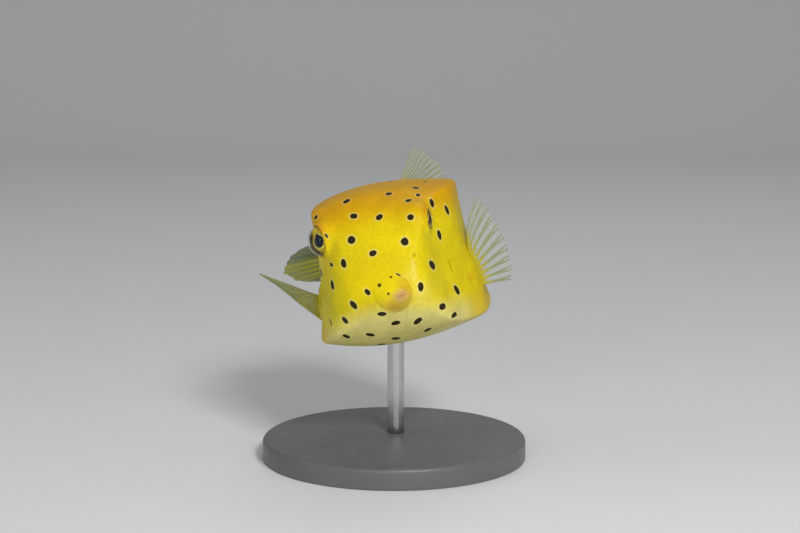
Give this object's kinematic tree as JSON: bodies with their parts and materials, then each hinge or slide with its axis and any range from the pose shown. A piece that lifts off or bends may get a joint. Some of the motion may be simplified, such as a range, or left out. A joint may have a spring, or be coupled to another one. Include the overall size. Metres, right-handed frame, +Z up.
{
  "type": "yellow boxfish model on a display stand",
  "caption": "Life-size still model of a yellow boxfish swimming towards the viewer with its tail curled aside, held by a rod on a flat round base.",
  "frame": {"origin": "centre of the underside of the round base, at floor level", "axes": "+Z up, -Y ahead of the fish, +X to the fish's left; the fish itself is turned and banked a little from these axes"},
  "size_m": [0.0504, 0.0582, 0.0572],
  "materials": {
    "skin": "smooth, slightly wet fish skin, golden above and lemon below, with dark round spots",
    "lips": "soft pink lips with fine darker dots",
    "eye": "clear glossy eye, yellow iris and dark pupil",
    "fin": "thin, nearly clear membrane with grey-green rays",
    "tail_fin": "yellow-green translucent tail membrane with rays",
    "stand_base": "plain satin grey",
    "stand_rod": "plain satin rod"
  },
  "bodies": {
    "root": {"torso": "skin", "head": "skin", "lips": "lips", "eye_left": "eye", "eye_right": "eye", "tail_peduncle": "skin", "caudal_fin": "tail_fin", "dorsal_fin": "fin", "anal_fin": "fin", "pectoral_fin_left": "fin", "pectoral_fin_right": "fin", "stand_base": "stand_base", "stand_rod": "stand_rod"}
  },
  "joints": []
}
